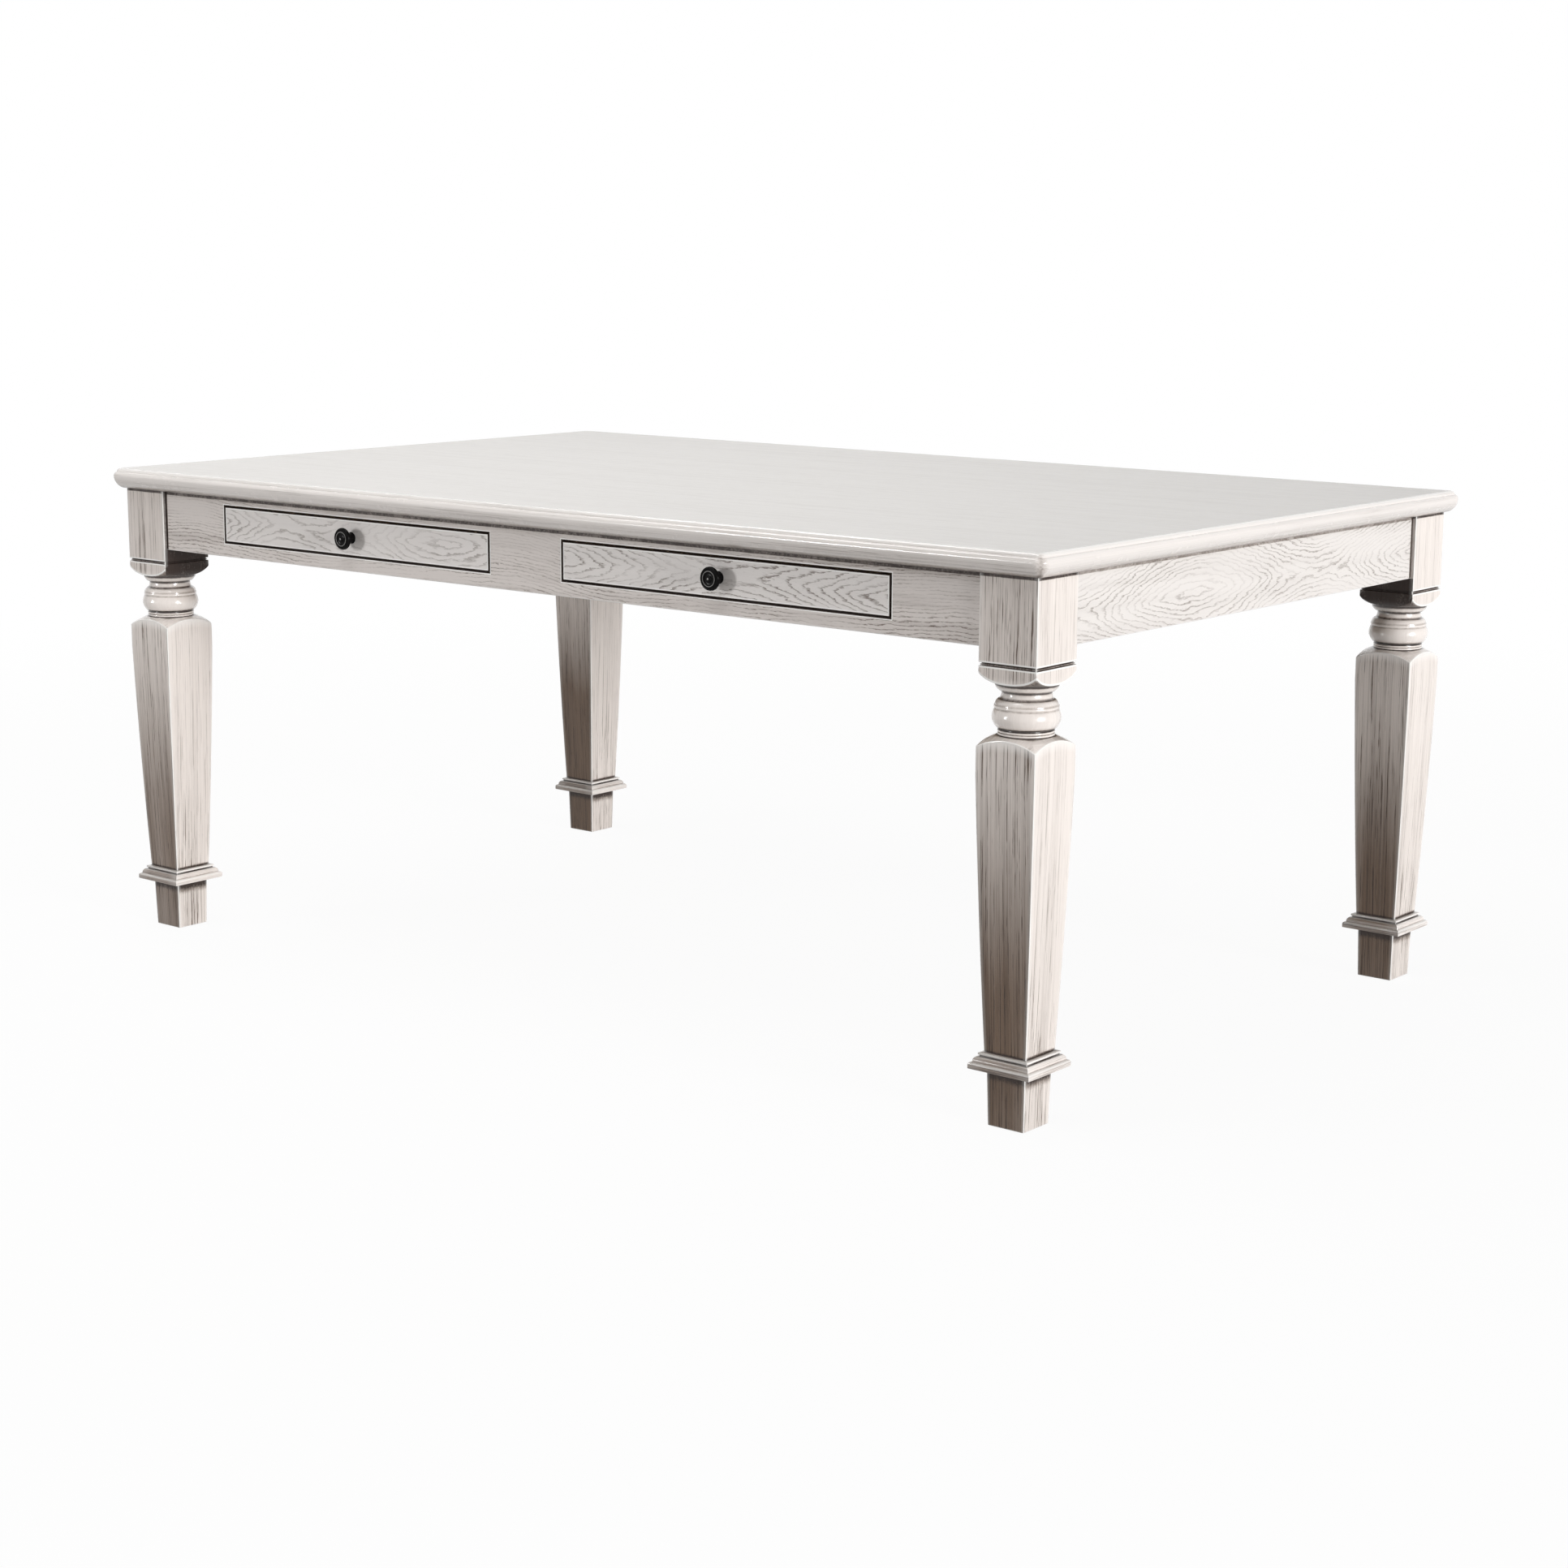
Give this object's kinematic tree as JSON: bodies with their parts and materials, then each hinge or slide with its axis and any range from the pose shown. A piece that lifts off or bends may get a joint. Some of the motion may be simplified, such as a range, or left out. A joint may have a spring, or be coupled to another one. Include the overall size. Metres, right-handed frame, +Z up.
{
  "type": "table",
  "caption": "Rectangular farmhouse table with a moulded top, turned and tapered legs, and round-knobbed drawers set side by side in one long apron.",
  "frame": {"origin": "centre of the footprint on the floor, under the middle of the top", "axes": "+X along the table's length, -Y out of the apron that holds the drawers, +Z up"},
  "size_m": [1.83, 1.13, 0.762],
  "materials": {
    "whitewashed_oak": "antique white stain over open-grained oak, satin",
    "core_board": "raw board, matte",
    "drawer_wood": "pale hardwood, clear lacquer",
    "inner_hardwood": "plain hardwood, unfinished",
    "black_metal": "near black, semi-gloss",
    "zinc_steel": "zinc plated",
    "glide_plastic": "moulded nylon"
  },
  "bodies": {
    "table": {"top_veneer": "whitewashed_oak", "edge_moulding_front": "whitewashed_oak", "edge_moulding_back": "whitewashed_oak", "edge_moulding_left": "whitewashed_oak", "edge_moulding_right": "whitewashed_oak", "leg_front_left": "whitewashed_oak", "leg_front_right": "whitewashed_oak", "leg_back_left": "whitewashed_oak", "leg_back_right": "whitewashed_oak", "ankle_moulding_front_left": "whitewashed_oak", "ankle_moulding_front_right": "whitewashed_oak", "ankle_moulding_back_left": "whitewashed_oak", "ankle_moulding_back_right": "whitewashed_oak", "front_apron": "whitewashed_oak", "back_apron": "whitewashed_oak", "left_apron": "whitewashed_oak", "right_apron": "whitewashed_oak", "top_core": "core_board", "corner_block_front_left": "inner_hardwood", "corner_block_front_right": "inner_hardwood", "corner_block_back_left": "inner_hardwood", "corner_block_back_right": "inner_hardwood", "cross_rail_left_outer": "inner_hardwood", "cross_rail_left_inner": "inner_hardwood", "cross_rail_right_outer": "inner_hardwood", "cross_rail_right_inner": "inner_hardwood", "drawer_runner_left_outer": "inner_hardwood", "drawer_runner_left_inner": "inner_hardwood", "drawer_runner_right_outer": "inner_hardwood", "drawer_runner_right_inner": "inner_hardwood", "drawer_kickers": "inner_hardwood", "drawer_stops": "inner_hardwood", "rail_dowels": "inner_hardwood", "top_brackets": "zinc_steel", "bracket_screws": "zinc_steel", "hanger_bolts": "zinc_steel", "bolt_washers": "zinc_steel", "bolt_nuts": "zinc_steel", "corner_block_screws": "zinc_steel", "foot_glides": "glide_plastic"},
    "left_drawer": {"left_drawer_front": "whitewashed_oak", "left_drawer_side_left": "drawer_wood", "left_drawer_side_right": "drawer_wood", "left_drawer_back": "drawer_wood", "left_drawer_bottom": "drawer_wood", "left_knob": "black_metal", "left_knob_screw": "zinc_steel"},
    "right_drawer": {"right_drawer_front": "whitewashed_oak", "right_drawer_side_left": "drawer_wood", "right_drawer_side_right": "drawer_wood", "right_drawer_back": "drawer_wood", "right_drawer_bottom": "drawer_wood", "right_knob": "black_metal", "right_knob_screw": "zinc_steel"}
  },
  "joints": [
    {"name": "left_drawer_slide", "type": "slide", "parent": "table", "child": "left_drawer", "axis": [0, -1, 0], "range_m": [0, 0.3]},
    {"name": "right_drawer_slide", "type": "slide", "parent": "table", "child": "right_drawer", "axis": [0, -1, 0], "range_m": [0, 0.3]}
  ]
}
